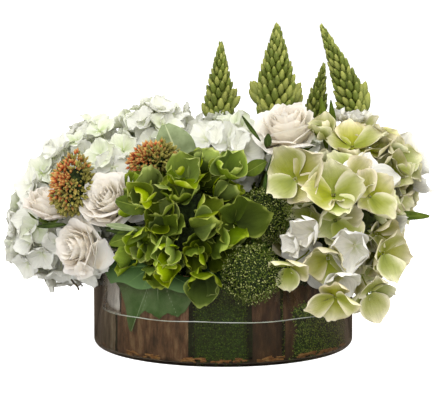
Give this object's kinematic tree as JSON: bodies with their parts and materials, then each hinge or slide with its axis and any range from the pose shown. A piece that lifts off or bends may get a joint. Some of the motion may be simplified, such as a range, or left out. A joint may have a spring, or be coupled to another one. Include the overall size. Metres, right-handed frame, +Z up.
{
  "type": "floral table centerpiece",
  "caption": "Low round clear glass bowl lined with bark and moss, holding a domed arrangement of hydrangeas, roses, stonecrop and bud spikes for the middle of a table.",
  "frame": {"origin": "centre of the bowl's underside, on the table", "axes": "+Z up, best side facing -Y, +X to the right seen from the best side"},
  "size_m": [0.4007, 0.3187, 0.3061],
  "materials": {
    "clear_glass": "clear pressed glass, polished",
    "water": "clear water",
    "foam": "soaked green floral foam, crumbly",
    "bark": "rough reddish-brown bark, wet below the water line",
    "moss": "live cushion moss, fine and matt",
    "dark_leaf": "dark green leaf, satin",
    "stem": "green cut stem",
    "white_petals": "white petals with a mint green shade, soft and matt",
    "green_petals": "lime to olive green petals, soft and matt",
    "variegated_petals": "yellow-green petals with cream edges, soft and matt",
    "rose_petals": "cream petals with a blush, velvety",
    "sedum_buds": "small buds, olive green turning rust red",
    "pompon_buds": "fine fuzzy green buds",
    "spike_buds": "waxy olive green buds"
  },
  "bodies": {
    "root": {"glass_bowl": "clear_glass", "water": "water", "floral_foam": "foam", "bark_strip_front_right": "bark", "bark_strip_right": "bark", "bark_strip_back": "bark", "bark_strip_left": "bark", "bark_strip_front_left": "bark", "moss_pad_front": "moss", "moss_pad_right": "moss", "moss_pad_back_right": "moss", "moss_pad_back_left": "moss", "front_leaf": "dark_leaf", "hydrangea_leaf_top": "dark_leaf", "hydrangea_leaf_back": "dark_leaf", "white_hydrangea_left": "white_petals", "white_hydrangea_upper_left": "white_petals", "white_hydrangea_top_left": "white_petals", "white_hydrangea_top": "white_petals", "white_hydrangea_top_right": "white_petals", "white_hydrangea_back_left": "white_petals", "green_hydrangea_front": "green_petals", "green_hydrangea_back": "green_petals", "variegated_hydrangea_front": "variegated_petals", "variegated_hydrangea_right": "variegated_petals", "variegated_hydrangea_back": "variegated_petals", "rose_upper_left": "rose_petals", "rose_lower_left": "rose_petals", "rose_far_left": "rose_petals", "rose_top": "rose_petals", "rose_back": "rose_petals", "sedum_left": "sedum_buds", "sedum_right": "sedum_buds", "green_pompon_upper": "pompon_buds", "green_pompon_lower": "pompon_buds", "bud_spike_left": "spike_buds", "bud_spike_middle": "spike_buds", "bud_spike_right": "spike_buds", "bud_spike_short": "spike_buds", "white_hydrangea_left_stem": "stem", "white_hydrangea_upper_left_stem": "stem", "white_hydrangea_top_left_stem": "stem", "white_hydrangea_top_stem": "stem", "white_hydrangea_top_right_stem": "stem", "white_hydrangea_back_left_stem": "stem", "green_hydrangea_front_stem": "stem", "green_hydrangea_back_stem": "stem", "variegated_hydrangea_front_stem": "stem", "variegated_hydrangea_right_stem": "stem", "variegated_hydrangea_back_stem": "stem", "rose_upper_left_stem": "stem", "rose_lower_left_stem": "stem", "rose_far_left_stem": "stem", "rose_top_stem": "stem", "rose_back_stem": "stem", "sedum_left_stem": "stem", "sedum_right_stem": "stem", "green_pompon_upper_stem": "stem", "green_pompon_lower_stem": "stem"}
  },
  "joints": []
}
